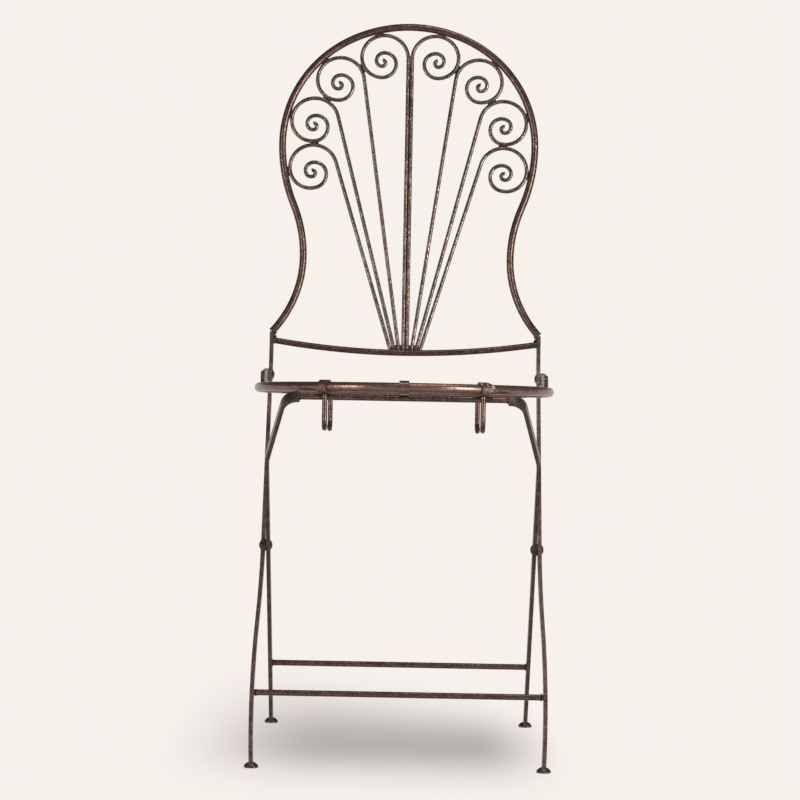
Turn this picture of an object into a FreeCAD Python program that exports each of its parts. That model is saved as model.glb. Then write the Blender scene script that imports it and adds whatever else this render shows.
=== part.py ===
"""Wrought iron folding chair, built as its separate bars, rings, straps, hooks, rivets and feet.

Millimetres. X runs across the chair, with +X on the right as seen from the front, Y runs from
front to rear and Z is up. The chair is drawn about the scissor pivot, and then moved so that the
origin is on the floor under the middle of its outer box.
"""
import math
import os

import FreeCAD
import Part

Vector = FreeCAD.Vector

# Stock that the chair is made of
hoop_diameter = 9.5
ring_diameter = 12.0
rod_diameter = 7.5
rail_diameter = 8.0
scroll_wire = 5.0
hook_wire = 6.5
bar_width = 16.0
bar_thickness = 5.0
strap_width = 12.0
strap_thickness = 2.4

# Side view: two crossing frames, and the seat that rests on the inner one
pivot_height = 256.0
hinge_height = 467.0
outer_slope = 0.70
bend_rise = 16.0
bend_radius = 60.0
back_lean_deg = 11.5
corner_rise = 49.0
seat_height = 457.0
seat_tilt_deg = 3.6
seat_outer_diameter = 380.0

# Front view: the outer bars stand inside the ends of the seat, and their feet spread a little
side_inset = 14.0
bow_width = 6.0
bow_height = 84.0
front_stretcher_height = 84.0
rear_stretcher_height = 89.0
foot_spread = 3.0

# Top of the leg frame: the flat bars lean in from the kink and curl along the crossbar's ends
kink_drop = 86.6
kink_radius = 60.0
curl_radius = 20.0
curl_tail = 2.0
crossbar_inset = 41.5

# Back hoop, drawn in the plane of the back: levels up from the corners, widths in from the outer
# bars, and the top as shares of the greatest half width
hoop_inset = 8.0
hoop_widest_level = 262.0
crown_rise_share = 0.9607
crown_radius_share = 1.06
waist_inset = 39.0
waist_level = 108.0
waist_upper_radius = 182.0
waist_lower_radius = 150.0
upright_tip = 6.0
rail_drop = 4.0
rail_sag = 14.5

# Scrolls: each volute is bent on one former, whose quarter turns are shares of the hoop's
# greatest half width, from the outside to the eye
scroll_turn_shares = (0.188, 0.181, 0.163, 0.110, 0.092, 0.065, 0.045, 0.027, 0.023)
scroll_names = ("inner", "upper", "side", "lower")
scroll_gap = 0.3
stem_spacing = 5.3

# Seat: the strap ends wrap round the ring, and hooks hang from them
strap_inset = 79.0
wrap_deg = 215.0
hook_drop = 54.0
hook_bend_radius = 12.0
hook_lip_deg = 45.0
lug_thickness = 5.0
lug_width = 16.0
lug_reach = 118.0
lug_notch = 1.0

# Rivets, washers and feet
rivet_diameter = 7.0
rivet_clearance = 0.06
rivet_head_diameter = 13.0
rivet_head_height = 2.8
washer_diameter = 15.0
washer_thickness = 1.4
pivot_gap = 0.1
foot_diameter = 18.0
foot_height = 7.0
foot_edge = 2.0

# Small gaps and welds
rest_gap = 0.3
wrap_gap = 0.15
weld_length = 6.8
weld_depth = 3.2
overrun = 20.0
settling_rounds = 20
quarter_deg = 90.0

# Worked out from the sizes above
outer_half_width = seat_outer_diameter / 2 - side_inset
foot_half_width = outer_half_width + foot_spread
hoop_half_width = outer_half_width - hoop_inset
hoop_rise = hoop_widest_level + crown_rise_share * hoop_half_width
hoop_top_radius = crown_radius_share * hoop_half_width
waist_half_width = outer_half_width - waist_inset
scroll_radii = [share * hoop_half_width for share in scroll_turn_shares]
strap_spacing = outer_half_width - strap_inset
corner_height = hinge_height + corner_rise
lean = math.radians(back_lean_deg)
tilt = math.radians(seat_tilt_deg)
outer_lean = math.atan(outer_slope)
ring_radius = (seat_outer_diameter - ring_diameter) / 2
inner_half_width = outer_half_width - bar_thickness - washer_thickness - pivot_gap
crossbar_half_length = inner_half_width - crossbar_inset
pivot = Vector(0, 0, pivot_height)
hinge = Vector(0, outer_slope * (hinge_height - pivot_height), hinge_height)
bend = hinge + Vector(0, outer_slope * bend_rise, bend_rise)
corner = Vector(0, bend.y + (corner_height - bend.z) * math.tan(lean), corner_height)
# The hooks hang this far from the middle of the seat, along it, and the crossbar lies behind
# their strands and under the straps
hook_reach = math.sqrt(ring_radius ** 2 - strap_spacing ** 2)
crossbar_reach = hook_reach - (hook_wire + rod_diameter) / 2 - rest_gap
crossbar_depth = (ring_diameter + rod_diameter) / 2 + wrap_gap + strap_thickness + rest_gap
crossbar = Vector(0, -crossbar_reach * math.cos(tilt) - crossbar_depth * math.sin(tilt),
                  seat_height + crossbar_reach * math.sin(tilt) - crossbar_depth * math.cos(tilt))
inner_lean = math.atan(-crossbar.y / (crossbar.z - pivot_height))


class Track:
    """A flat line of straight runs and tangent arcs, walked from a start point."""

    def __init__(self, x, y, heading_deg):
        self.point = (x, y)
        self.heading = heading_deg
        self.steps = []

    def run(self, length):
        a = math.radians(self.heading)
        end = (self.point[0] + length * math.cos(a), self.point[1] + length * math.sin(a))
        self.steps.append(("run", self.point, end, self.heading))
        self.point = end
        return self

    def turn(self, radius, angle_deg):
        """Turns left for a positive angle and right for a negative one."""
        side = math.copysign(1, angle_deg)
        a = math.radians(self.heading)
        centre = (self.point[0] - side * radius * math.sin(a), self.point[1] + side * radius * math.cos(a))
        self.steps.append(("turn", centre, radius, self.heading, angle_deg))
        self.heading += angle_deg
        b = math.radians(self.heading)
        self.point = (centre[0] + side * radius * math.sin(b), centre[1] - side * radius * math.cos(b))
        return self

    def edges(self, offset=0.0):
        """The line as edges, moved to its left by the offset."""
        made = []
        for step in self.steps:
            if step[0] == "run":
                a = math.radians(step[3])
                shift = Vector(-offset * math.sin(a), offset * math.cos(a), 0)
                made.append(Part.makeLine(Vector(*step[1], 0) + shift, Vector(*step[2], 0) + shift))
            else:
                made.append(self._arc(step, offset))
        return made

    def _arc(self, step, offset):
        _, centre, radius, heading, angle = step
        side = math.copysign(1, angle)
        r = radius - side * offset

        def at(share):
            a = math.radians(heading + angle * share)
            return Vector(centre[0] + side * r * math.sin(a), centre[1] - side * r * math.cos(a), 0)

        return Part.Arc(at(0), at(1 / 2), at(1)).toShape()

    def start(self):
        first = self.steps[0]
        if first[0] == "run":
            return Vector(*first[1], 0), first[3]
        _, centre, radius, heading, angle = first
        side = math.copysign(1, angle)
        a = math.radians(heading)
        x = centre[0] + side * radius * math.sin(a)
        y = centre[1] - side * radius * math.cos(a)
        return Vector(x, y, 0), heading


def plane(origin, across, up):
    """Placement that puts a flat drawing's X along across and its Y along up."""
    x = Vector(across).normalize()
    y = Vector(up).normalize()
    z = x.cross(y)
    m = FreeCAD.Matrix(x.x, y.x, z.x, origin.x, x.y, y.y, z.y, origin.y, x.z, y.z, z.z, origin.z, 0, 0, 0, 1)
    return FreeCAD.Placement(m)


def round_bar(track, diameter, place):
    start, heading = track.start()
    a = math.radians(heading)
    section = Part.Wire([Part.makeCircle(diameter / 2, start, Vector(math.cos(a), math.sin(a), 0))])
    bar = Part.Wire(track.edges()).makePipeShell([section], True, False)
    bar.Placement = place
    return bar


def flat_bar(track, thickness, width, place):
    """A strip on edge: as thick as the drawing's line, as wide as it is deep."""
    left = track.edges(thickness / 2)
    right = track.edges(-thickness / 2)
    closing = [Part.makeLine(left[0].Vertexes[0].Point, right[0].Vertexes[0].Point),
               Part.makeLine(left[-1].Vertexes[-1].Point, right[-1].Vertexes[-1].Point)]
    outline = Part.Wire(Part.__sortEdges__(left + right + closing))
    strip = Part.Face(outline).extrude(Vector(0, 0, width))
    strip.translate(Vector(0, 0, -width / 2))
    strip.Placement = place.multiply(strip.Placement)
    return strip


def mirrored(shape):
    return shape.mirror(Vector(0, 0, 0), Vector(1, 0, 0))


def cylinder_x(diameter, x0, x1, y, z):
    return Part.makeCylinder(diameter / 2, x1 - x0, Vector(x0, y, z), Vector(1, 0, 0))


# Placements of the flat drawings
back_plane = plane(corner, (1, 0, 0), (0, math.sin(lean), math.cos(lean)))
seat_origin = Vector(0, 0, seat_height)
seat_plane = plane(seat_origin, (1, 0, 0), (0, math.cos(tilt), -math.sin(tilt)))
inner_plane = plane(pivot, (1, 0, 0), (0, -math.sin(inner_lean), math.cos(inner_lean)))


def seat_section(x):
    """Upright drawing plane along the seat, at a distance from its middle: rearwards and upwards."""
    along = (0, math.cos(tilt), -math.sin(tilt))
    up = (0, math.sin(tilt), math.cos(tilt))
    return plane(seat_origin + Vector(x, 0, 0), along, up)


def domed(diameter, height, base, axis):
    """A low dome on a flat face, as a rivet head is set."""
    r = diameter / 2
    ball = (r * r + height * height) / (2 * height)
    dome = Part.makeSphere(ball, Vector(0, 0, height - ball))
    keep = Part.makeCylinder(r, height)
    dome = dome.common(keep)
    dome.Placement = FreeCAD.Placement(base, FreeCAD.Rotation(Vector(0, 0, 1), axis))
    return dome


def rivet(x0, x1, y, z):
    """A shank across the chair from x0 to x1, with a domed head past each end."""
    shank = cylinder_x(rivet_diameter, x0, x1, y, z)
    inner = domed(rivet_head_diameter, rivet_head_height, Vector(x0, y, z), Vector(-1, 0, 0))
    outer = domed(rivet_head_diameter, rivet_head_height, Vector(x1, y, z), Vector(1, 0, 0))
    return joined(shank, [inner, outer])


def bored(shape, diameter, at):
    return shape.cut(cylinder_x(diameter, 0, outer_half_width + overrun, at.y, at.z))


def largest(shape):
    return max(shape.Solids, key=lambda s: s.Volume)


def joined(first, others):
    """Solids that touch, made one."""
    return largest(first.fuse(others).removeSplitter())


def foot(x, y):
    """A disc with a rim and a low domed top, standing on the floor."""
    rim = Part.makeCylinder(foot_diameter / 2, foot_edge)
    dome = domed(foot_diameter, foot_height - foot_edge, Vector(0, 0, foot_edge), Vector(0, 0, 1))
    pad = joined(rim, [dome])
    pad.translate(Vector(x, y, 0))
    return pad


def above_foot(leg, pad):
    """A leg trimmed level with the rim of its foot and coped over the dome."""
    middle = pad.CenterOfMass
    side = 2 * (foot_diameter + overrun)
    at = Vector(middle.x - side / 2, middle.y - side / 2, foot_edge - side)
    below = Part.makeBox(side, side, side, at)
    return largest(leg.cut([below, pad]))


def hoop_track():
    """The left foot of the hoop, its waist, shoulder and top, and the same down the right side."""
    swing = math.acos((waist_half_width + waist_lower_radius - outer_half_width) / waist_lower_radius)
    flare = hoop_half_width - waist_half_width
    rise = hoop_widest_level - waist_level
    both = (flare * flare + rise * rise) / (2 * flare)
    sway = math.degrees(math.asin(rise / both))
    side_radius = both - waist_upper_radius
    top_level = hoop_rise - hoop_top_radius
    lift = hoop_widest_level - top_level
    spare = hoop_top_radius - hoop_half_width
    shoulder_radius = (hoop_top_radius ** 2 - hoop_half_width ** 2 - lift ** 2) / (2 * spare)
    crown = math.degrees(math.atan((hoop_half_width - shoulder_radius) / lift))
    start_level = waist_level - waist_lower_radius * math.sin(swing)
    swing = math.degrees(swing)
    track = Track(-outer_half_width, start_level, quarter_deg - swing)
    track.turn(waist_lower_radius, swing).turn(waist_upper_radius, sway).turn(side_radius, -sway)
    track.turn(shoulder_radius, crown - quarter_deg)
    track.turn(hoop_top_radius, -2 * crown)
    track.turn(shoulder_radius, crown - quarter_deg)
    track.turn(side_radius, -sway).turn(waist_upper_radius, sway).turn(waist_lower_radius, swing)
    return track


def outer_bar():
    """Right flat bar of the back frame: front foot, scissor pivot, seat hinge, bend, corner."""
    y0 = -outer_slope * pivot_height
    low_end = (y0 - overrun * math.sin(outer_lean), -overrun * math.cos(outer_lean))
    side = Track(*low_end, quarter_deg - math.degrees(outer_lean))
    turn = outer_lean - lean
    tangent = bend_radius * math.tan(turn / 2)
    side.run(bend.z / math.cos(outer_lean) + overrun - tangent)
    side.turn(bend_radius, math.degrees(turn))
    side.run((corner.z - bend.z) / math.cos(lean) + upright_tip - tangent)
    side_plane = plane(Vector(outer_half_width, 0, 0), (0, 1, 0), (0, 0, 1))
    profile = flat_bar(side, bar_width, 2 * overrun, side_plane)
    # Front view: bowed outwards round the stretcher, straight above the pivot
    drift = outer_half_width - foot_half_width
    fall = pivot_height - bow_height
    s_turn = 2 * math.atan(bow_width / fall)
    s_radius = fall / (2 * math.sin(s_turn))
    below = bow_height + overrun
    b_turn = math.atan((bow_width + drift) / bow_height)
    b_radius = bow_height / math.sin(2 * b_turn)
    foot_x = outer_half_width + bow_width - b_radius * (1 - math.cos(2 * b_turn))
    front = Track(foot_x, 0, quarter_deg - math.degrees(2 * b_turn))
    front.turn(b_radius, math.degrees(2 * b_turn))
    front.turn(s_radius, math.degrees(s_turn)).turn(s_radius, -math.degrees(s_turn))
    front.run(corner.z + overrun - pivot_height)
    front_plane = plane(Vector(0, 0, 0), (1, 0, 0), (0, 0, 1))
    bow = flat_bar(front, bar_thickness, 2 * (bend.y + corner.y), front_plane)
    return largest(profile.common(bow))


def inner_bar():
    """Right flat bar of the leg frame: rear foot, scissor pivot, kink, curl under the seat."""
    per_height = 1 / math.cos(inner_lean)
    # The leaning part is the line that touches both the arc of the kink and the arc of the curl
    inwards = inner_half_width - kink_radius - crossbar_half_length - curl_tail
    upwards = kink_drop * per_height - curl_radius
    apart = math.hypot(inwards, upwards)
    easing = math.asin((kink_radius - curl_radius) / apart)
    kink_lean_deg = math.degrees(math.atan(inwards / upwards) + easing)
    track = Track(inner_half_width, -(pivot_height + overrun) * per_height, quarter_deg)
    track.run((crossbar.z - kink_drop + overrun) * per_height)
    track.turn(kink_radius, kink_lean_deg)
    track.run(apart * math.cos(easing))
    track.turn(curl_radius, quarter_deg - kink_lean_deg)
    track.run(curl_tail)
    return flat_bar(track, bar_thickness, bar_width, inner_plane)


def cross_rail(bars):
    """A round rail sagging between the uprights, its ends coped to their inner faces."""
    half = outer_half_width
    radius = (half ** 2 + rail_sag ** 2) / (2 * rail_sag)
    sweep = math.degrees(math.asin(half / radius))
    track = Track(-half, -rail_drop, -sweep).turn(radius, 2 * sweep)
    return largest(round_bar(track, rail_diameter, back_plane).cut(bars))


def stretcher(half_length, y, z, bars):
    """A straight round rod between two legs, its ends coped to their inner faces."""
    rod = cylinder_x(rod_diameter, -half_length, half_length, y, z)
    return largest(rod.cut(bars))


def rail_level(x):
    """Height of the rail's middle in the plane of the back, at a distance from the chair's middle."""
    radius = (outer_half_width ** 2 + rail_sag ** 2) / (2 * rail_sag)
    return radius - rail_drop - rail_sag - math.sqrt(radius ** 2 - x ** 2)


def scroll_track(number, centre):
    """A straight stem from the rail, tangent to a volute whose first quarter turn has this centre."""
    base_x = number * stem_spacing + stem_spacing / 2
    base_y = rail_level(base_x)
    away = math.hypot(centre.x - base_x, centre.y - base_y)
    heading = math.atan2(centre.y - base_y, centre.x - base_x) + math.asin(scroll_radii[0] / away)
    stem = math.sqrt(away ** 2 - scroll_radii[0] ** 2)
    track = Track(base_x, base_y, math.degrees(heading)).run(stem)
    for radius in scroll_radii:
        track.turn(radius, -quarter_deg)
    return track


def settled_scrolls():
    """Scroll lines from the middle outwards, and the two points where each one is welded.

    Each scroll lies a weld's gap from the hoop and from the scroll before it.
    """
    hoop = Part.Wire(hoop_track().edges())
    before = Part.makeLine(Vector(0, hoop_rise / 2, 0), Vector(0, hoop_rise, 0))
    apart = scroll_wire / 2 + scroll_gap / 2
    reach = hoop_half_width - scroll_radii[0] - 2 * scroll_wire
    pitch = 2 * math.asin((scroll_radii[0] + scroll_radii[1]) / 2 / reach)
    tracks = []
    welds = []
    for number in range(len(scroll_names)):
        angle = number * pitch + pitch / 2
        centre = Vector(reach * math.sin(angle), hoop_widest_level + reach * math.cos(angle), 0)
        for _ in range(settling_rounds):
            line = Part.Wire(scroll_track(number, centre).edges())
            centre += shortfall(centre, line, hoop, (hoop_diameter + scroll_wire) / 2 + scroll_gap)
            centre += shortfall(centre, line, before, apart)
        track = scroll_track(number, centre)
        line = Part.Wire(track.edges())
        welds.append([weld_point(line, hoop), weld_point(line, before)])
        tracks.append(track)
        before = Part.Wire(track.edges()[1:])
        apart = scroll_wire + scroll_gap
    return tracks, welds


def shortfall(centre, line, other, wanted):
    """The move that brings a scroll's line to a wanted distance from its neighbour."""
    gap, pairs, _ = line.distToShape(other)
    if gap < scroll_gap:
        return (centre - pairs[0][0]).normalize() * wanted
    return (pairs[0][0] - pairs[0][1]) * (wanted / gap - 1)


def weld_point(line, other):
    """The middle of the gap between a scroll's wire and its neighbour, in the plane of the back."""
    first, second = line.distToShape(other)[1][0]
    return back_plane.multVec(first + (second - first).normalize() * (scroll_wire + scroll_gap) / 2)


def ring():
    torus = Part.makeTorus(ring_radius, ring_diameter / 2)
    torus.Placement = seat_plane
    return torus


def long_strap(x):
    """A strap along the seat, under the ring, with both ends wrapped square round its tube."""
    reach = math.sqrt(ring_radius ** 2 - x ** 2)
    radius = (ring_diameter + strap_thickness) / 2 + wrap_gap
    track = Track(-strap_width / 2, -radius, 0).run(strap_width / 2).turn(radius, wrap_deg)
    wrap_plane = plane(Vector(x, reach, 0), (x, reach, 0), (0, 0, 1))
    wrap = flat_bar(track, strap_thickness, strap_width, wrap_plane)
    half_length = reach - strap_width / 4
    corner_point = Vector(x - strap_width / 2, -half_length, -radius - strap_thickness / 2)
    run = Part.makeBox(strap_width, 2 * half_length, strap_thickness, corner_point)
    strap = joined(run, [wrap, wrap.mirror(Vector(0, 0, 0), Vector(0, 1, 0))])
    strap.Placement = seat_plane.multiply(strap.Placement)
    return strap


def cross_strap(along, seat_ring):
    """A strap across the seat, lying on the long straps, its ends coped to the ring."""
    level = -ring_diameter / 2 - wrap_gap
    corner_point = Vector(-ring_radius, along - strap_width / 2, level)
    strap = Part.makeBox(2 * ring_radius, strap_width, strap_thickness, corner_point)
    inside = Part.makeCylinder(ring_radius, strap_thickness, Vector(0, 0, level))
    strap = strap.common(inside)
    strap.Placement = seat_plane
    return largest(strap.cut(seat_ring))


def hook(x, facing):
    """A wire hook under the end of a strap: down, round and a little up, opening to the seat's middle."""
    top = -ring_diameter / 2 - wrap_gap - strap_thickness
    drop = hook_drop - hook_wire / 2 - hook_bend_radius
    track = Track(facing * hook_reach, top, -quarter_deg).run(drop + top)
    track.turn(hook_bend_radius, -facing * (quarter_deg + hook_lip_deg))
    return round_bar(track, hook_wire, seat_section(x))


def lug(seat_ring):
    """Right seat lug: a flat bar with round ends, from the top of the ring back to the hinge."""
    x0 = outer_half_width + bar_thickness / 2 + pivot_gap
    normal = Vector(0, math.sin(tilt), math.cos(tilt))
    along = Vector(0, math.cos(tilt), -math.sin(tilt))
    seat_point = hinge - seat_origin
    back = seat_point.dot(along)
    level = ring_diameter / 2 + lug_width / 2 - lug_notch
    front_point = seat_origin + along * (back - lug_reach) + normal * level
    run = hinge - front_point
    bar = Part.makeBox(run.Length, lug_width, lug_thickness, Vector(0, -lug_width / 2, 0))
    ends = [Part.makeCylinder(lug_width / 2, lug_thickness, Vector(d, 0, 0)) for d in (0, run.Length)]
    plate = joined(bar, ends)
    up = Vector(0, -run.z, run.y)
    plate.Placement = plane(front_point + Vector(x0, 0, 0), run, up)
    return largest(bored(plate.cut(seat_ring), rivet_diameter + 2 * rivet_clearance, hinge))


def welded(wires, number, points, hoop):
    """A scroll with the weld metal that fills the narrow space to the hoop and to the scroll before it."""
    side = 2 * weld_length
    left_half = Part.makeBox(side, 2 * hoop_rise, 2 * corner_height, Vector(-side, 0, 0))
    neighbour = wires[number - 1] if number else left_half
    beads = []
    for point in points:
        plug = Part.makeCylinder(weld_length / 2, weld_depth, Vector(0, 0, -weld_depth / 2))
        plug.Placement = FreeCAD.Placement(point, back_plane.Rotation)
        beads.append(plug.cut([hoop, neighbour]))
    return joined(wires[number], beads)


def washer(x0, at):
    bore = rivet_diameter + 2 * rivet_clearance
    disc = cylinder_x(washer_diameter, x0, x0 + washer_thickness, at.y, at.z)
    return disc.cut(cylinder_x(bore, x0 - overrun, x0 + overrun, at.y, at.z))


def both_sides(name, shape):
    return {name + "_right": shape, name + "_left": mirrored(shape)}


def build():
    parts = {}
    outer = outer_bar()
    outer_foot_y = -outer_slope * pivot_height
    front_foot = foot(foot_half_width, outer_foot_y)
    outer = above_foot(outer, front_foot)
    outer = bored(bored(outer, rivet_diameter, pivot), rivet_diameter, hinge)
    inner = inner_bar()
    rear_foot = foot(inner_half_width, pivot_height * math.tan(inner_lean))
    inner = above_foot(inner, rear_foot)
    inner = bored(inner, rivet_diameter + 2 * rivet_clearance, pivot)
    outers = [outer, mirrored(outer)]
    inners = [inner, mirrored(inner)]
    # Back frame
    hoop = largest(round_bar(hoop_track(), hoop_diameter, back_plane).cut(outers))
    rail = cross_rail(outers)
    parts["back_hoop"] = hoop
    parts.update(both_sides("back_leg_bar", outer))
    parts["back_rail"] = rail
    tracks, welds = settled_scrolls()
    wires = [largest(round_bar(track, scroll_wire, back_plane).cut(rail)) for track in tracks]
    for number, name in enumerate(scroll_names):
        parts.update(both_sides("scroll_" + name, welded(wires, number, welds[number], hoop)))
    y = -outer_slope * (pivot_height - front_stretcher_height)
    parts["front_stretcher"] = stretcher(outer_half_width + bow_width, y, front_stretcher_height, outers)
    parts.update(both_sides("front_foot", front_foot))
    # Pivots
    outer_face = outer_half_width + bar_thickness / 2
    x0 = inner_half_width - bar_thickness / 2 - pivot_gap
    parts.update(both_sides("scissor_rivet", rivet(x0, outer_face, pivot.y, pivot.z)))
    x0 = outer_half_width - bar_thickness / 2
    seat_rivet = rivet(x0, outer_face + lug_thickness + 2 * pivot_gap, hinge.y, hinge.z)
    parts.update(both_sides("seat_rivet", seat_rivet))
    parts.update(both_sides("scissor_washer", washer(x0 - washer_thickness, pivot)))
    # Leg frame
    parts.update(both_sides("leg_bar", inner))
    rod = cylinder_x(rod_diameter, -crossbar_half_length, crossbar_half_length, crossbar.y, crossbar.z)
    parts["seat_crossbar"] = rod
    y = math.tan(inner_lean) * (pivot_height - rear_stretcher_height)
    parts["rear_stretcher"] = stretcher(inner_half_width, y, rear_stretcher_height, inners)
    parts.update(both_sides("rear_foot", rear_foot))
    # Seat
    seat_ring = ring()
    parts["seat_ring"] = seat_ring
    parts["strap_centre"] = long_strap(0)
    parts.update(both_sides("strap", long_strap(strap_spacing)))
    for name, along in (("front", -strap_spacing), ("middle", 0), ("rear", strap_spacing)):
        parts["cross_strap_" + name] = cross_strap(along, seat_ring)
    parts.update(both_sides("front_hook", hook(strap_spacing, -1)))
    parts.update(both_sides("rear_hook", hook(strap_spacing, 1)))
    parts.update(both_sides("seat_lug", lug(seat_ring)))
    return parts


def box_middle():
    """Halfway between the foremost point of the seat and the rearmost point of the hoop."""
    front = -(seat_outer_diameter / 2 + wrap_gap + strap_thickness) * math.cos(tilt)
    rear = corner.y + hoop_rise * math.sin(lean) + hoop_diameter / 2
    return (front + rear) / 2


def main():
    os.makedirs("parts", exist_ok=True)
    shift = Vector(0, -box_middle(), 0)
    print("moved by", round(shift.y, 4))
    for name, shape in build().items():
        shape.translate(shift)
        if not shape.isValid():
            print("not valid", name)
        box = shape.BoundBox
        print(f"{name:20s} solids {len(shape.Solids)} volume {shape.Volume:9.0f}"
              f" x {box.XMin:7.1f} {box.XMax:7.1f} y {box.YMin:7.1f} {box.YMax:7.1f}"
              f" z {box.ZMin:6.1f} {box.ZMax:6.1f}")
        shape.exportStep(f"parts/{name}.step")


main()
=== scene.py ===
# %% [markdown]
# A folding garden chair of bronzed wrought iron: a round hoop for the back, filled with scrolls of bent
# wire, a round seat, and two pairs of flat legs that cross like scissors. Its shapes and joints come
# from the CAD model, loaded below, so nothing here moves or reshapes them. This file adds what the CAD
# leaves out: the finish of the metal, the weld seams, the light and the camera of the photograph.

import math

import bpy
from mathutils import Matrix, Vector
from mathutils.bvhtree import BVHTree


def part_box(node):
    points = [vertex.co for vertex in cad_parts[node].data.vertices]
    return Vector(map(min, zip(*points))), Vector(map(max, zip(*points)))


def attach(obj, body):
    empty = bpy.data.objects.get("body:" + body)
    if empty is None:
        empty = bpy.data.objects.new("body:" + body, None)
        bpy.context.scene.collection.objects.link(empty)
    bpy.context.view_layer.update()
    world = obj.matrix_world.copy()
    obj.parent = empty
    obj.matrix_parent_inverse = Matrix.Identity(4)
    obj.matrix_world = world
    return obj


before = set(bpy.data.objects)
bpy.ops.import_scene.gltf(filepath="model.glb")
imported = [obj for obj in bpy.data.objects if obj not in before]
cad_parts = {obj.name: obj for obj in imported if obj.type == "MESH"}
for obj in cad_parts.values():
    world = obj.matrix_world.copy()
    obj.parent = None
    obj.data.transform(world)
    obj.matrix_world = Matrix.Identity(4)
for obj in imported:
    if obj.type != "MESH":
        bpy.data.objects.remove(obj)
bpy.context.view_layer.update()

# %% [markdown]
# A procedural material is a graph of nodes, and most of its nodes are plain sums and products. Wired by
# hand, each of them takes four or five lines. Instead, this class wraps one output socket and gives it
# the usual operators, so `a * 0.3 + b` builds two Math nodes and returns the last socket. The reflected
# forms (`__radd__` and its kin) let a plain number stand on the left. `node` makes any other node.

# %% Shader sockets with arithmetic
class Sock:
    """A shader socket that can be added, subtracted, multiplied, divided and raised to a power."""

    def __init__(self, tree, out):
        self.tree = tree
        self.out = out

    def node(self, kind, inputs=None, out=0, **settings):
        """Any other node: its settings by name, its inputs by name or number, and one output."""
        made = self.tree.nodes.new(kind)
        for name, value in settings.items():
            setattr(made, name, value)
        for name, value in (inputs or {}).items():
            if isinstance(value, Sock):
                self.tree.links.new(value.out, made.inputs[name])
            else:
                made.inputs[name].default_value = value
        return Sock(self.tree, made.outputs[out])

    def also(self, name):
        """Another output of the same node."""
        return Sock(self.tree, self.out.node.outputs[name])

    def math(self, operation, *values):
        """A Math node on sockets, numbers or both."""
        return self.node("ShaderNodeMath", dict(enumerate(values)), operation=operation)

    def __add__(self, other):
        return self.math("ADD", self, other)

    def __radd__(self, other):
        return self.math("ADD", other, self)

    def __sub__(self, other):
        return self.math("SUBTRACT", self, other)

    def __rsub__(self, other):
        return self.math("SUBTRACT", other, self)

    def __mul__(self, other):
        return self.math("MULTIPLY", self, other)

    def __rmul__(self, other):
        return self.math("MULTIPLY", other, self)

    def __truediv__(self, other):
        return self.math("DIVIDE", self, other)

    def __rtruediv__(self, other):
        return self.math("DIVIDE", other, self)

    def __pow__(self, other):
        return self.math("POWER", self, other)

    def step(self, low, high):
        """0 below low, 1 above high, and smooth between them."""
        ramp = {"Value": self, "From Min": low, "From Max": high}
        return self.node("ShaderNodeMapRange", ramp, interpolation_type="SMOOTHSTEP")


print("socket operators", [name for name in vars(Sock) if name.startswith("__r")])

# %% [markdown]
# Four helpers follow. Every finish reads the Object coordinates, so the pattern sits on the metal and
# folds with it, and it keeps its true size: a noise of scale 420 has grains of about 2 mm. Generated
# coordinates would stretch the grain to the box of each piece, and no two bars would match.

# %% Colours, materials and noise
def blend(first, second, share):
    """Two colours mixed by a share."""
    made = share.tree.nodes.new("ShaderNodeMix")
    made.data_type = "RGBA"
    # The Mix node has a set of sockets for each kind of value. Inputs 6 and 7 and output 2 are for colours
    share.tree.links.new(share.out, made.inputs[0])
    for socket, value in ((made.inputs[6], first), (made.inputs[7], second)):
        if isinstance(value, Sock):
            share.tree.links.new(value.out, socket)
        else:
            socket.default_value = (*value, 1)
    return Sock(share.tree, made.outputs[2])


def new_material(name):
    """A new material with its tree, its shader, and the Object coordinates as a socket."""
    material = bpy.data.materials.new(name)
    material.use_nodes = True
    tree = material.node_tree
    shader = tree.nodes["Principled BSDF"]
    place = tree.nodes.new("ShaderNodeTexCoord")
    return material, tree, shader, Sock(tree, place.outputs["Object"])


def noise(place, scale, detail, rough, warp=0.0):
    """A noise whose grain is about one metre divided by its scale."""
    inputs = {"Vector": place, "Scale": scale, "Detail": detail, "Roughness": rough, "Distortion": warp}
    return place.node("ShaderNodeTexNoise", inputs)


def connect(tree, shader, **sockets):
    """Links sockets to inputs of the shader, where Base_Color stands for Base Color."""
    for name, value in sockets.items():
        tree.links.new(value.out, shader.inputs[name.replace("_", " ")])


print("helpers ready")

# %% [markdown]
# The real metal is forged, then coated: dark brown in the hollows, bronze over most of it, coppery where
# hands and weather have rubbed the high spots. It could be one flat brown with a glossy coat, but then
# the thin bars read as plastic. So four noises of different size and a layer of dimples are mixed. The
# same specks drive the colour, the bump and the roughness, because on real metal a worn spot is
# brighter, higher and smoother.

# %% One recipe for wrought iron
BLACK = (0, 0, 0)
BUMP_DEPTH = 0.0006


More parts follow.
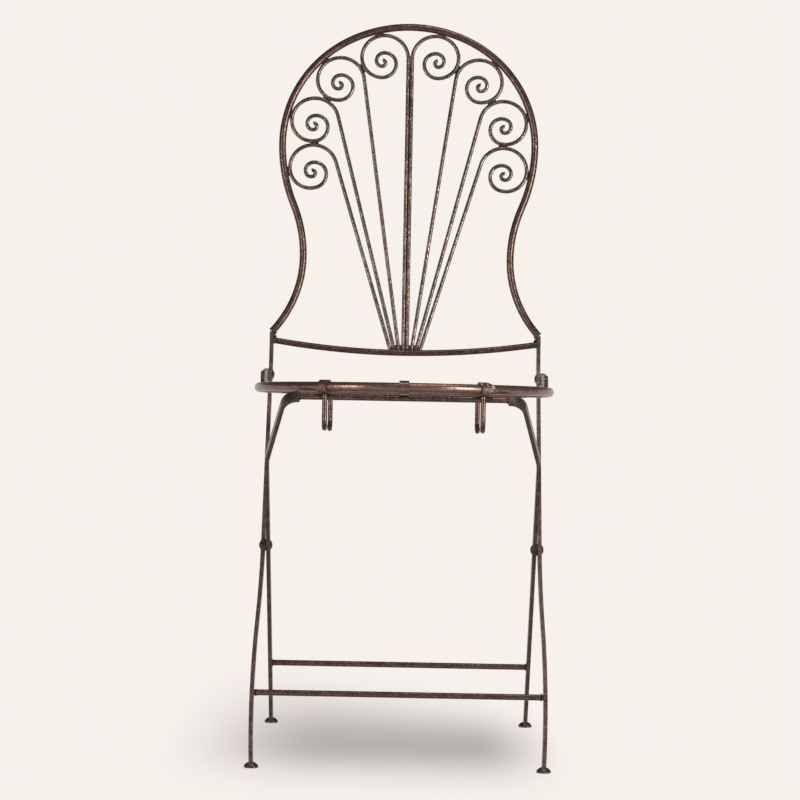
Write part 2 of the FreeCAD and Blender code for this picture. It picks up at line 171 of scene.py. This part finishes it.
def iron(name, dark, mid, worn, wear=0.3, grain=1.0, metal=0.75, rough=0.36, matt=None):
    """Bronzed iron: dark in the hollows of the grain, brown over most of it, coppery where worn.

    matt turns a place into a share, which says how far the metal was left dull there.
    """
    material, tree, shader, place = new_material(name)
    patches = noise(place, 14, detail=4, rough=0.6, warp=0.4)
    mottle = noise(place, 90, detail=4, rough=0.62, warp=0.2)
    speck = noise(place, 420, detail=3, rough=0.7)
    fine = noise(place, 1300, detail=2, rough=0.6)
    dents = {"Vector": place, "Scale": 230, "Randomness": 1}
    dimples = place.node("ShaderNodeTexVoronoi", dents, feature="F1")
    # The specks weigh most, so that the coat looks grained and not cloudy
    coat = blend(dark, mid, (mottle * 0.35 + speck * 0.65).step(0.34, 0.60))
    # Wear lowers the height above which the metal is rubbed, and lets more of the worn colour through
    rubbed = patches * 0.25 + speck * 0.65 + mottle * 0.25
    worn_share = rubbed.step(0.62 - 0.12 * wear, 0.80 - 0.1 * wear)
    colour = blend(coat, worn, worn_share * (0.35 + 0.5 * wear))
    height = dimples * 0.5 + speck * 0.6 + fine * 0.25
    relief = {"Height": height, "Strength": 0.55 * grain, "Distance": BUMP_DEPTH}
    bumped = place.node("ShaderNodeBump", relief)
    roughness = rough + 0.22 * (speck - 0.5) - 0.10 * worn_share
    metallic = metal + 0.2 * worn_share
    if matt:
        dull = matt(place)
        colour = blend(colour, BLACK, 0.3 * dull)
        roughness = roughness + 0.53 * dull
        metallic = metallic - 0.40 * dull
    connect(tree, shader, Base_Color=colour, Roughness=roughness, Metallic=metallic, Normal=bumped)
    shader.inputs["Specular IOR Level"].default_value = 0.35
    shader.inputs["Coat Weight"].default_value = 0.06
    shader.inputs["Coat Roughness"].default_value = 0.35
    return material


print("iron recipe ready")

# %% [markdown]
# All the pieces share that recipe, and what differs is small. The seat ring is smooth and rubbed by use,
# the scroll wire is darker with a sharper shine, the flat bars are rougher and the rivets almost black.
# Weld metal stays dark, but it was dressed where the hoop and the rail meet the bars. One weld on the ring
# has a painted highlight: near-white colours stand in for its glint. The straps have the ring's shine
# where they wrap round it, and are dull on their flats: flat polished tops would all mirror the same lamp
# and turn white. Keeping the finishes in one table makes them easy to compare.

# %% The finishes of the chair
BROWN = (0.050, 0.026, 0.018)
BRONZE = (0.150, 0.088, 0.066)
COPPER = (0.42, 0.28, 0.22)
RUBBED = (0.44, 0.29, 0.23)
# Distances from the middle of the seat, in metres, between which the dull flat turns into shine
DULL_WITHIN = 0.172
SHINY_BEYOND = 0.180


def off_the_ring(place):
    """1 where a strap spans the seat, 0 where it is wrapped round the ring."""
    low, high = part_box("seat_ring")
    parts = place.node("ShaderNodeSeparateXYZ", {"Vector": place})
    across = parts - (low[0] + high[0]) / 2
    back = parts.also("Y") - (low[1] + high[1]) / 2
    return 1 - ((across ** 2 + back ** 2) ** 0.5).step(DULL_WITHIN, SHINY_BEYOND)


finishes = {
    "hoop": iron("hoop iron", (0.042, 0.023, 0.017), (0.125, 0.073, 0.057), COPPER,
                 grain=0.6, rough=0.28),
    "wire": iron("scroll wire", (0.042, 0.026, 0.020), (0.136, 0.090, 0.072), (0.50, 0.38, 0.31),
                 wear=0.5, grain=0.7, rough=0.27),
    "bar": iron("flat bar", (0.052, 0.032, 0.024), (0.152, 0.100, 0.078), (0.42, 0.31, 0.26),
                grain=1.2),
    "rod": iron("round rod", BROWN, BRONZE, COPPER,
                wear=0.25, grain=0.6, rough=0.28),
    "ring": iron("seat ring", (0.125, 0.068, 0.051), (0.225, 0.129, 0.098), RUBBED,
                 grain=0.25, rough=0.27),
    "strap": iron("seat strap", (0.115, 0.063, 0.047), (0.215, 0.124, 0.094), RUBBED,
                  grain=0.4, rough=0.27, matt=off_the_ring),
    "scale": iron("weld scale", (0.070, 0.038, 0.028), (0.180, 0.106, 0.080), COPPER,
                  grain=0.7, rough=0.5),
    "rivet": iron("rivet iron", (0.022, 0.013, 0.010), (0.075, 0.045, 0.035), COPPER,
                  grain=0.8),
    "foot": iron("foot iron", (0.040, 0.026, 0.020), (0.130, 0.088, 0.070), COPPER,
                 wear=0.2, grain=0.7, rough=0.28),
    "weld": iron("weld bead", (0.022, 0.013, 0.010), (0.076, 0.047, 0.036), (0.30, 0.21, 0.17),
                 wear=0.25, grain=1.2, rough=0.42),
    "dressed": iron("dressed weld", (0.044, 0.026, 0.020), (0.145, 0.094, 0.072), (0.44, 0.32, 0.26),
                    wear=0.4, grain=1.2, rough=0.34),
    # Painted highlight: near-white colours stand in for the glint on one weld of the ring
    "painted_highlight": iron("weld painted highlight", (0.16, 0.10, 0.08), (0.55, 0.43, 0.36), (0.88, 0.80, 0.72),
                   wear=1.0, metal=0.8, rough=0.22),
}
print("finishes", sorted(finishes))

# %% [markdown]
# The CAD pieces keep their meshes, and only their materials change. Forty names could be listed one by
# one, but each already says what the piece is, so the start of a name is enough to choose its finish.

# %% Each CAD piece takes its finish
starts = {
    "hoop": ("back_hoop", "back_rail", "front_hook", "rear_hook"),
    "wire": ("scroll",),
    "bar": ("back_leg_bar", "leg_bar", "seat_lug"),
    "rod": ("front_stretcher", "rear_stretcher", "seat_crossbar"),
    "ring": ("seat_ring",),
    "strap": ("strap", "cross_strap"),
    "rivet": ("seat_rivet", "scissor"),
    "foot": ("front_foot", "rear_foot"),
}
for name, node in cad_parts.items():
    finish = next(finish for finish, start in starts.items() if name.startswith(start))
    node.data.materials.clear()
    node.data.materials.append(finishes[finish])
print("finished", len(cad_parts), "CAD pieces")

# %% [markdown]
# The bars are joined by arc welds: a row of overlapping drops that froze as they ran into each other.
# A swept tube would be too even, and drops modelled by hand would be the work of days. This Geometry
# Nodes group takes any line and sets a bead about every millimetre, flattened along the line like a coin
# in a roll, and each a little larger or smaller than the last. It then turns them into a volume and back
# into one skin, which melts them together. The seed is fixed, so the same line always gives the same seam.

# %% The weld seam group
# Shares of the bead's size: the smallest and largest bead, its height and length, and the volume's grain
SMALLEST = 0.75
LARGEST = 1.25
HEIGHT_SHARE = 0.9
LENGTH_SHARE = 0.62
GRAIN_SHARE = 0.27


def seam_group():
    """Flattened beads along a line, each with its own size, melted together."""
    group = bpy.data.node_groups.new("weld seam", "GeometryNodeTree")
    kinds = {"Line": "Geometry", "Spacing": "Float", "Bead": "Float", "Seed": "Int", "Finish": "Material"}
    for name, kind in kinds.items():
        group.interface.new_socket(name, in_out="INPUT", socket_type="NodeSocket" + kind)
    group.interface.new_socket("Seam", in_out="OUTPUT", socket_type="NodeSocketGeometry")
    entry = group.nodes.new("NodeGroupInput")
    given = {name: Sock(group, entry.outputs[name]) for name in kinds}
    line = given["Line"]
    curve = line.node("GeometryNodeMeshToCurve", {"Mesh": line})
    steps = {"Curve": curve, "Length": given["Spacing"]}
    points = line.node("GeometryNodeCurveToPoints", steps, mode="LENGTH")
    bead = line.node("GeometryNodeMeshUVSphere", {"Segments": 8, "Rings": 5})
    # Inputs 2 and 3 and output 1 of Random Value are its smallest, its largest and its result as a float
    limits = {2: SMALLEST, 3: LARGEST, "Seed": given["Seed"]}
    size = given["Bead"] * line.node("FunctionNodeRandomValue", limits, out=1)
    # The rotation of the points turns Z along the line
    sizes = {"X": size, "Y": size * HEIGHT_SHARE, "Z": size * LENGTH_SHARE}
    flat = line.node("ShaderNodeCombineXYZ", sizes)
    row = {"Points": points, "Instance": bead, "Rotation": points.also("Rotation"), "Scale": flat}
    laid = line.node("GeometryNodeInstanceOnPoints", row)
    made = line.node("GeometryNodeRealizeInstances", {"Geometry": laid})
    grain = given["Bead"] * GRAIN_SHARE
    heat = {"Mesh": made, "Voxel Size": grain, "Interior Band Width": grain * 4}
    molten = line.node("GeometryNodeMeshToVolume", heat, resolution_mode="VOXEL_SIZE")
    skin = {"Volume": molten, "Threshold": 0.25}
    melted = line.node("GeometryNodeVolumeToMesh", skin, resolution_mode="GRID")
    smooth = line.node("GeometryNodeSetShadeSmooth", {"Geometry": melted})
    finished = line.node("GeometryNodeSetMaterial", {"Geometry": smooth, "Material": given["Finish"]})
    leave = group.nodes.new("NodeGroupOutput")
    group.links.new(finished.out, leave.inputs["Seam"])
    return group


welder = seam_group()
sockets = {item.name: item.identifier for item in welder.interface.items_tree if item.in_out == "INPUT"}
print("weld seam inputs", sockets)

# %% [markdown]
# A modifier would stay live, and what is handed on must be plain meshes. So `weld` draws the lines as
# edges, sets the group's inputs by their identifiers, takes the finished mesh from the evaluated object
# and throws the drawing away. The seam then rides on one body of the chair, and folds with it.

# %% From a line to a finished seam
SPACING_SHARE = 0.85


def weld(name, lines, body, seed, bead=0.0013, finish="weld"):
    """Lays a seam along each line of points, as one piece that rides on a body."""
    mesh = bpy.data.meshes.new(name + "_line")
    points, edges = [], []
    for line in lines:
        edges += [(len(points) + k, len(points) + k + 1) for k in range(len(line) - 1)]
        points += line
    mesh.from_pydata(points, edges, [])
    drawn = bpy.data.objects.new(name + "_line", mesh)
    bpy.context.scene.collection.objects.link(drawn)
    maker = drawn.modifiers.new("seam", "NODES")
    maker.node_group = welder
    settings = {"Spacing": bead * SPACING_SHARE, "Bead": bead, "Seed": seed, "Finish": finishes[finish]}
    for socket, value in settings.items():
        maker[sockets[socket]] = value
    bpy.context.view_layer.update()
    made = bpy.data.meshes.new_from_object(drawn.evaluated_get(bpy.context.evaluated_depsgraph_get()))
    bpy.data.objects.remove(drawn)
    piece = bpy.data.objects.new(name, made)
    bpy.context.scene.collection.objects.link(piece)
    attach(piece, body)
    print(name, "triangles", sum(len(face.vertices) - 2 for face in made.polygons), "on", body)


print("welder ready")

# %% [markdown]
# Most welds run either round a bar, where it meets another, or straight along a groove. These helpers
# return such lines as points, and `middle` finds where a piece of the CAD model is.

# %% Lines for the seams
def hoop_line(centre, axis, radius, steps=16):
    """Points round a bar, where it meets another."""
    turn = Vector(axis).to_track_quat("Z", "Y")
    angles = [2 * math.pi * k / steps for k in range(steps + 1)]
    circle = [Vector((radius * math.cos(a), radius * math.sin(a), 0)) for a in angles]
    return [tuple(Vector(centre) + turn @ point) for point in circle]


def straight(first, second, steps=8):
    """Points from one place straight to another."""
    return [tuple(first.lerp(second, k / steps)) for k in range(steps + 1)]


def middle(node):
    """The middle of the box round a CAD piece."""
    low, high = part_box(node)
    return (Vector(low) + Vector(high)) / 2


print("middle of the ring", [round(v, 4) for v in middle("seat_ring")])

# %% [markdown]
# The back leans by 11.5 degrees and the seat tips back by 3.6. Worked out in the room's axes, every weld
# would need sines and cosines of its own. It is simpler to think of the back and of the seat as flat
# drawings, and to let two helpers turn a place in a drawing into a place in the room.

# %% Places on the back and on the seat
LEAN = math.radians(11.5)
TILT = math.radians(3.6)
BACK_UP = Vector((0, math.sin(LEAN), math.cos(LEAN)))
BACK_FORWARD = Vector((0, -math.cos(LEAN), math.sin(LEAN)))
SEAT_BACK = Vector((0, math.cos(TILT), -math.sin(TILT)))
SEAT_UP = Vector((0, math.sin(TILT), math.cos(TILT)))
CORNER_BEHIND_HINGE = 0.01791
CORNER_ABOVE_HINGE = 0.049
HINGE = middle("seat_rivet_right")
BACK_CORNER = Vector((0, HINGE.y + CORNER_BEHIND_HINGE, HINGE.z + CORNER_ABOVE_HINGE))
SEAT_MIDDLE = middle("seat_ring")


def on_back(x, level, front=0.0):
    """x across, a level up the back from its corners, and a distance in front of it."""
    return BACK_CORNER + Vector((x, 0, 0)) + BACK_UP * level + BACK_FORWARD * front


def on_seat(x, y, height=0.0):
    """x across the seat, y towards the back, and a height above the middle of the ring."""
    return SEAT_MIDDLE + Vector((x, 0, 0)) + SEAT_BACK * y + SEAT_UP * height


print("seat middle", [round(v, 4) for v in SEAT_MIDDLE])

# %% [markdown]
# Each scroll touches the hoop and its neighbour, and is welded at both. The touching places could be
# read off the drawing, but then they would be wrong as soon as a scroll changed size. Instead they are
# measured: a tree of the other piece's faces gives the scroll's vertex that lies nearest to it.

# %% Where two wires touch
CLOSE = 0.002
AROUND = 0.006


def contact(scroll, other):
    """Where a scroll comes nearest to another piece, and which way that piece's surface faces there."""
    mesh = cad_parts[other].data
    tree = BVHTree.FromPolygons([v.co for v in mesh.vertices], [p.vertices for p in mesh.polygons])
    found = []
    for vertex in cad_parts[scroll].data.vertices:
        place, facing, _, distance = tree.find_nearest(vertex.co, CLOSE)
        if place is not None:
            found.append((vertex.co, facing, distance))
    nearest = min(found, key=lambda hit: hit[2])[0]
    around = [hit for hit in found if (hit[0] - nearest).length < AROUND]
    centre = sum((hit[0] for hit in around), Vector()) / len(around)
    return centre, sum((hit[1] for hit in around), Vector())


print("first contact", [round(v, 4) for v in contact("scroll_upper_left", "back_hoop")[0]])

# %% [markdown]
# Two round wires side by side leave a groove in front and one behind. Three short lines, in the two
# grooves and between them, fill the gap to a solid web about a centimetre long, as in the photograph.

# %% Welds of the scrolls
def groove_lines(scroll, other, length=0.0105, rise=0.0022):
    """Short lines along the front, middle and rear of the groove where a scroll lies against a bar."""
    place, facing = contact(scroll, other)
    along = facing.cross(BACK_FORWARD).normalized() * length / 2
    lines = []
    for lift in (-rise, 0, rise):
        lines.append(straight(place + BACK_FORWARD * lift - along, place + BACK_FORWARD * lift + along))
    return lines


names = ("inner", "upper", "side", "lower")
for side in ("left", "right"):
    grooves = []
    for number, name in enumerate(names):
        grooves += groove_lines(f"scroll_{name}_{side}", "back_hoop")
        if number:
            grooves += groove_lines(f"scroll_{name}_{side}", f"scroll_{names[number - 1]}_{side}")
    weld(f"scroll_seams_{side}", grooves, "back_frame", bead=0.0012, seed=5)

# %% [markdown]
# The eight wires fan out from one lump of weld on the rail. A ring of beads goes round each foot, and
# rows of beads bridge them, three in front and three behind. One solid lump would be quicker to make, but
# it would hide the feet of the wires. The two middle wires lie side by side all the way up, and a thin
# seam in the groove between them closes the line of light that would show there.

# %% Welds at the feet of the wires
FIRST_WIRE = 0.00265
WIRE_SPACING = 0.0053
FOOT_RADIUS = 0.0027
GROOVE_START = -0.010
GROOVE_END = 0.375
# Half the length of each row and its level
WEB_ROWS = ((0.0200, -0.0130), (0.0188, -0.0110), (0.0176, -0.0090))
WEB_FRONT = 0.0016


def rail_top(x):
    """The level of the upper side of the rail, which sags towards its middle."""
    return -0.0138 + 1.2 * x * x


stems = [FIRST_WIRE + WIRE_SPACING * k for k in range(4)]
feet = [hoop_line(on_back(side * x, rail_top(x)), BACK_UP, FOOT_RADIUS) for side in (-1, 1) for x in stems]
groove = straight(on_back(0, GROOVE_START), on_back(0, GROOVE_END), 44)
weld("stem_groove", [groove], "back_frame", bead=0.0011, seed=6)
webs = [straight(on_back(-half, level, front), on_back(half, level, front), 20)
        for half, level in WEB_ROWS for front in (-WEB_FRONT, WEB_FRONT)]
weld("stem_seams", feet + webs, "back_frame", bead=0.0012, seed=7)

# %% [markdown]
# At each end the curved rail meets the leg bar, with a seam all the way round it. How far out the seam
# lies is read from the box of the rail, so no number has to be kept in step with the CAD model.

# %% Welds of the rail
ACROSS = (1, 0, 0)
RAIL_SEAM_RADIUS = 0.0042
RAIL_SEAM_INSET = 0.0007
rail_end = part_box("back_rail")[1][0] - RAIL_SEAM_INSET
rings = [hoop_line(on_back(side * rail_end, -RAIL_SEAM_RADIUS), ACROSS, RAIL_SEAM_RADIUS)
         for side in (-1, 1)]
weld("rail_seams", rings, "back_frame", finish="dressed", seed=3)

# %% [markdown]
# Just above, the hoop stands on the top corner of the bar. The welder filled the angle between hoop, bar
# and rail, so thick beads go there, and thin ones round the hoop's end. When the chair is folded the
# seat's lugs rest against the outer side of this corner, and so the seam leaves that side free.

# %% Welds of the corners
# Each pair is a distance from the middle of the chair and a level above the corners of the back
HOOP_END = (0.1752, 0.0080)
CORNER_TOP = (0.1768, 0.0089)
FILLETS = ((0.1726, 0.0044), (0.1726, 0.0028), (0.1726, 0.0012), (0.1712, 0.0056), (0.1711, 0.0006))
HOOP_SEAM_RADIUS = 0.0049
HOOP_SEAM_LIMIT = 0.1766
HOOP_INWARDS = 0.66
HOOP_REARWARDS = 0.15
HOOP_UPWARDS = 0.74


def ridge(side, x, level, half):
    """A line through the corner from rear to front, on one side of the back."""
    return straight(on_back(side * x, level, -half), on_back(side * x, level, half))


corners, fillets = [], []
for side in (-1, 1):
    aim = (-side * HOOP_INWARDS, HOOP_REARWARDS, HOOP_UPWARDS)
    turn = hoop_line(on_back(side * HOOP_END[0], HOOP_END[1]), aim, HOOP_SEAM_RADIUS)
    corners += [[a, b] for a, b in zip(turn, turn[1:]) if max(side * a[0], side * b[0]) < HOOP_SEAM_LIMIT]
    corners.append(ridge(side, *CORNER_TOP, half=0.0045))
    fillets += [ridge(side, x, level, half=0.0040) for x, level in FILLETS]
weld("corner_fillets", fillets, "back_frame", bead=0.0019, finish="dressed", seed=12)
weld("corner_seams", corners, "back_frame", bead=0.0012, finish="dressed", seed=11)

# %% [markdown]
# The two stretchers and the crossbar under the seat are round rods between flat bars, welded all round.
# One loop lays all three, because only the body and the inset of the seam differ. On the right the
# crossbar's weld ran on along the rod, and left a scaly patch of three short rows.

# %% Welds of the stretchers and the crossbar
ROD_SEAM_RADIUS = 0.0039
PATCH_START = 0.1265
PATCH_END = 0.1345
PATCH_ROWS = ((-0.0027, -0.0029), (-0.0038, -0.0013), (-0.0040, 0.0005))
rods = (("front_stretcher", "back_frame", 0.0026), ("rear_stretcher", "leg_frame", 0.0006),
        ("seat_crossbar", "leg_frame", 0.0006))
for name, body, inset in rods:
    rod = middle(name)
    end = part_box(name)[1][0] - inset
    rings = [hoop_line(rod + Vector((side * end, 0, 0)), ACROSS, ROD_SEAM_RADIUS) for side in (-1, 1)]
    weld(name + "_seams", rings, body, bead=0.0012, seed=13)
crossbar = middle("seat_crossbar")
patch = [straight(crossbar + Vector((PATCH_START, y, z)), crossbar + Vector((PATCH_END, y, z)))
         for y, z in PATCH_ROWS]
weld("crossbar_patch", patch, "leg_frame", bead=0.0011, finish="scale", seed=17)

# %% [markdown]
# Under the seat, four hooks hang from the ring, each with a collar of weld at its top. They hang where
# the two outer straps cross the ring, so the places follow from the straps and the ring's radius.

# %% Welds of the hooks
RING_RADIUS = 0.184
STRAP_X = 0.097
HOOK_SEAM_RADIUS = 0.0035
HOOK_SEAM_DROP = 0.0090
HOOK_Y = math.sqrt(RING_RADIUS ** 2 - STRAP_X ** 2)
hooks = [hoop_line(on_seat(x, y, -HOOK_SEAM_DROP), SEAT_UP, HOOK_SEAM_RADIUS)
         for x in (-STRAP_X, STRAP_X) for y in (-HOOK_Y, HOOK_Y)]
weld("hook_seams", hooks, "seat", bead=0.0011, seed=19)

# %% [markdown]
# The three long straps of the seat are bent round the ring, and their ends stop on top of it. A short
# seam fixes each end, and two more fix each lug to the ring, one on either face of the lug.

# %% Welds of the straps and the lugs
# How far outside the inner face of a lug each seam lies, then how far back and how high it starts and ends
LUG_SEAMS = (-0.0005, 0.0053)
LUG_SEAM_START = (0.026, 0.0058)
LUG_SEAM_END = (0.042, 0.0054)


def wrap_end(x, end, over=0.0070, past=math.radians(38), half=0.0052):
    """A line along the ring where a strap's end stops, some radius over its bar and past its top."""
    y = end * math.sqrt(RING_RADIUS ** 2 - x ** 2)
    outward = Vector((x, y)) / RING_RADIUS
    radius = RING_RADIUS - over * math.sin(past)
    height = over * math.cos(past)
    across = Vector((-outward.y, outward.x)) * half
    place = outward * radius
    return straight(on_seat(*(place - across), height), on_seat(*(place + across), height))


wraps = [wrap_end(x, end) for x in (-STRAP_X, 0, STRAP_X) for end in (-1, 1)]
weld("strap_seams", wraps, "seat", bead=0.0010, seed=23)
lug_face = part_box("seat_lug_right")[0][0]
lugs = [straight(on_seat(side * (lug_face + beside), *LUG_SEAM_START),
                 on_seat(side * (lug_face + beside), *LUG_SEAM_END))
        for side in (-1, 1) for beside in LUG_SEAMS]
weld("lug_seams", lugs, "seat", bead=0.0012, seed=29)

# %% [markdown]
# On the front right of the ring one weld catches the eye with a bright glint. Its beads are given a
# near-white colour, a painted highlight of that glint, and their lumps also catch the lamps for real. Two
# turns round the ring's bar make it, with two thin ones beside them for the spatter. Painting it on the
# ring could give the colour, but not the lumps that catch the light.

# %% The ring's weld, with a painted highlight
SPATTER_RADIUS = 0.0086


def ring_arc(x, start, stop, radius=0.0063, steps=10):
    """Part of a turn round the front of the ring's bar, from angles above its outer side."""
    angle = math.asin(x / RING_RADIUS)
    points = []
    for k in range(steps + 1):
        a = math.radians(start + (stop - start) * k / steps)
        out = RING_RADIUS + radius * math.cos(a)
        points.append(tuple(on_seat(out * math.sin(angle), -out * math.cos(angle), radius * math.sin(a))))
    return points


turns = [ring_arc(0.1045, -20, 120), ring_arc(0.1065, 10, 100)]
spatter = [ring_arc(0.0915, 35, 90, SPATTER_RADIUS), ring_arc(0.0985, 20, 80, SPATTER_RADIUS)]
weld("ring_seam", turns, "seat", bead=0.0014, finish="painted_highlight", seed=31)
weld("ring_spatter", spatter, "seat", bead=0.0010, finish="painted_highlight", seed=37)

# %% [markdown]
# The photograph stands on warm white paper with only a soft grey pool under the chair. A real shadow
# from a real lamp would be sharper and would darken the paper elsewhere too. So the floor is clear, and
# only a smooth spot of grey shows on it. Its edges were set beside the photograph: nearer in
# front, further back on the left.

# %% The paper floor
SHADOW_GREY = (0.20, 0.192, 0.190, 1)
SHADOW_STRENGTH = 0.63
# Where the shadow starts and where it is full, on either side, and how far it reaches, in metres
LEFT_FADE = (-0.32, -0.085)
RIGHT_FADE = (0.225, 0.095)
SHADOW_FORWARD = 0.02
FRONT_REACH = 0.222
EXTRA_BEHIND = 0.108
EXTRA_LEFT = 0.6


def studio_floor(size=3, drop=0.0003):
    """A floor that shows the paper behind it, but for the soft shadow under the chair."""
    bpy.ops.mesh.primitive_plane_add(size=size, location=(0, 0, -drop))
    floor = bpy.context.object
    floor.name = "studio_floor"
    material, tree, shader, place = new_material("painted floor shadow")
    parts = place.node("ShaderNodeSeparateXYZ", {"Vector": place})
    across = parts.step(*LEFT_FADE) * parts.step(*RIGHT_FADE)
    behind = parts.also("Y") + SHADOW_FORWARD
    # The shadow ends sooner in front of the chair than behind it, and reaches back further on the left
    reach = FRONT_REACH + behind.math("GREATER_THAN", behind, 0) * (EXTRA_BEHIND - EXTRA_LEFT * parts)
    fall = (behind / reach) ** 2
    shade = across * fall.math("EXPONENT", 0 - fall)
    # The grey is a painted shadow: an emitted grey that Alpha shows under the chair and hides elsewhere
    connect(tree, shader, Alpha=SHADOW_STRENGTH * shade)
    shader.inputs["Base Color"].default_value = (*BLACK, 1)
    shader.inputs["Roughness"].default_value = 1
    shader.inputs["Specular IOR Level"].default_value = 0
    shader.inputs["Emission Color"].default_value = SHADOW_GREY
    shader.inputs["Emission Strength"].default_value = 1
    floor.data.materials.append(material)
    floor.visible_shadow = False
    floor.visible_diffuse = False
    floor.visible_glossy = False
    return floor


print("floor", studio_floor().name)

# %% [markdown]
# Polished bars show their light as long streaks, so the lamps are long, narrow softboxes: a strong one
# on the right, a weak one on the left and a dim one overhead. Point lamps would leave small hot spots.

# %% Softboxes
LAMP_TARGET = Vector((0, 0, 0.4))


def softbox(name, place, size, power):
    """A rectangular lamp of some width and height in metres and power in watts, aimed at the chair."""
    data = bpy.data.lights.new(name, "AREA")
    data.shape = "RECTANGLE"
    data.size, data.size_y = size
    data.energy = power
    lamp = bpy.data.objects.new(name, data)
    lamp.location = place
    lamp.rotation_euler = (LAMP_TARGET - Vector(place)).to_track_quat("-Z", "Y").to_euler()
    bpy.context.scene.collection.objects.link(lamp)


softbox("overhead", place=(0.5, -0.4, 2.8), size=(1.6, 0.6), power=14)
softbox("left", place=(-2.0, -2.2, 1.0), size=(0.7, 1.8), power=34)
softbox("right", place=(2.0, -1.9, 0.9), size=(0.6, 2.0), power=75)

# %% [markdown]
# Metal shows its surroundings more than its own colour. The room is therefore drawn as directions: pale
# behind and below, where the paper sweeps up, grey in front, paler on the left, and almost black overhead.
# That gives every bar a dark heart between two light edges, as in the photograph. A plain grey room would
# light the bars evenly and make them look painted. The camera itself must see only paper, and the
# Is Camera Ray output of the Light Path node switches to it.

# %% The room that the metal reflects
PAPER = (0.930, 0.880, 0.840)
FRONT_WALL = (0.25, 0.25, 0.26)
LEFT_WALL = (0.60, 0.60, 0.60)
REAR_WALL = (0.85, 0.84, 0.83)
CEILING = (0.07, 0.07, 0.075)
PAPER_SWEEP = (0.85, 0.83, 0.81)
UNDERFOOT = (0.36, 0.35, 0.34)
world = bpy.data.worlds.new("studio")
bpy.context.scene.world = world
world.use_nodes = True
tree = world.node_tree
tree.nodes.clear()
look = Sock(tree, tree.nodes.new("ShaderNodeTexCoord").outputs["Generated"])
parts = look.node("ShaderNodeSeparateXYZ", {"Vector": look})
front = blend(FRONT_WALL, LEFT_WALL, (0 - parts).step(0.45, 0.95))
wall = blend(front, REAR_WALL, parts.also("Y").step(0.15, 0.75))
above = parts.also("Z").step(0.06, 0.30) * parts.also("Y").step(-0.75, -0.1)
ceiling = blend(wall, CEILING, above)
below = blend(PAPER_SWEEP, UNDERFOOT, (0 - parts.also("Z")).step(0.50, 0.90))
sweep = blend(below, ceiling, parts.also("Z").step(-0.30, -0.04))
room = look.node("ShaderNodeBackground", {"Color": sweep})
seen = look.node("ShaderNodeBackground", {"Color": (*PAPER, 1)})
camera_ray = Sock(tree, tree.nodes.new("ShaderNodeLightPath").outputs["Is Camera Ray"])
either = look.node("ShaderNodeMixShader", {0: camera_ray, 1: room, 2: seen})
out = tree.nodes.new("ShaderNodeOutputWorld")
tree.links.new(either.out, out.inputs["Surface"])
print("room nodes", len(tree.nodes))

# %% [markdown]
# The photograph was taken from far off with a long lens, a little above the seat. The place, the lens and
# the small roll were worked out from the feet, the ring and the hoop in the picture.

# %% The camera of the photograph
CAMERA_PLACE = (0, -4.2307, 0.65985)
PITCH = math.radians(2.942)
YAW = math.radians(0.07)
ROLL = math.radians(1.05)
camera_data = bpy.data.cameras.new("photo")
camera_data.sensor_width = 36
camera_data.lens = 148.886
camera_data.clip_end = 50
camera = bpy.data.objects.new("photo", camera_data)
bpy.context.scene.collection.objects.link(camera)
bpy.context.scene.camera = camera
aimed = Matrix.Rotation(YAW, 4, "Z") @ Matrix.Rotation(math.pi / 2 - PITCH, 4, "X")
turned = aimed @ Matrix.Rotation(ROLL, 4, "Z")
camera.matrix_world = Matrix.Translation(CAMERA_PLACE) @ turned
print("camera", [round(v, 3) for v in camera.matrix_world.translation], "lens", camera_data.lens)

# %% [markdown]
# Cycles with the Standard view keeps the pale paper exactly as pale as it was set. The filmic views,
# which are kinder to bright lamps, would turn it grey.

# %% Render settings
scene = bpy.context.scene
scene.render.engine = "CYCLES"
scene.cycles.samples = 192
scene.render.resolution_x = 800
scene.render.resolution_y = 800
scene.view_settings.view_transform = "Standard"
print("render", scene.render.resolution_x, "x", scene.render.resolution_y, "samples", scene.cycles.samples)

# %% [markdown] The welds must not make the chair any larger than its CAD model.
